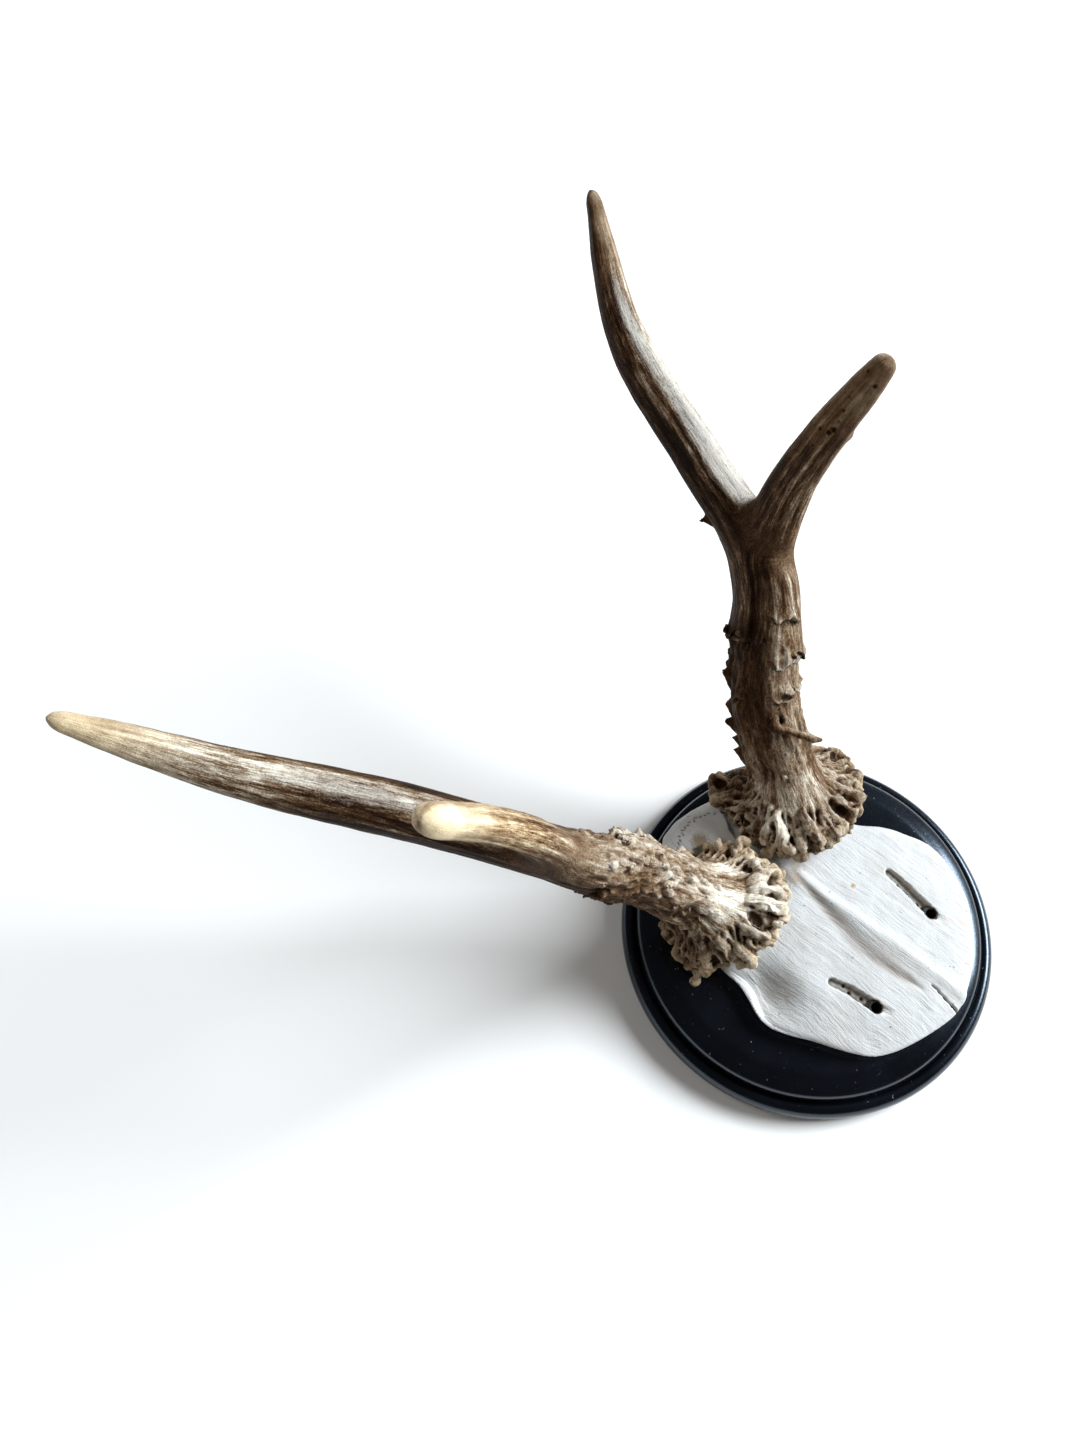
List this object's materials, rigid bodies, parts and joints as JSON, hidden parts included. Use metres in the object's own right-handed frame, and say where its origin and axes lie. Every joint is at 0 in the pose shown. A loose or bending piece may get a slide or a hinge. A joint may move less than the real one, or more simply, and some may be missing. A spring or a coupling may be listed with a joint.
{
  "type": "mounted roe deer antlers",
  "caption": "Forked roebuck antlers on their bleached skull plate, fixed to a round turned black wooden plaque; lies flat on its back or hangs on a wall.",
  "frame": {"origin": "centre of the plaque's flat back face", "axes": "+Z out of the plaque's front, +Y towards the back of the head, where the antlers sweep, and up when the plaque hangs; +X to the right of someone facing the hung plaque"},
  "size_m": [0.2203, 0.2331, 0.159],
  "materials": {
    "painted_wood": "satin",
    "bleached_bone": "matte",
    "antler": "matte",
    "screw_steel": "satin"
  },
  "bodies": {
    "root": {"plaque": "painted_wood", "skull_plate": "bleached_bone", "left_antler_beam": "antler", "left_antler_tine": "antler", "right_antler_beam": "antler", "right_antler_tine": "antler", "fixing_screw_1": "screw_steel", "fixing_screw_2": "screw_steel"}
  },
  "joints": []
}
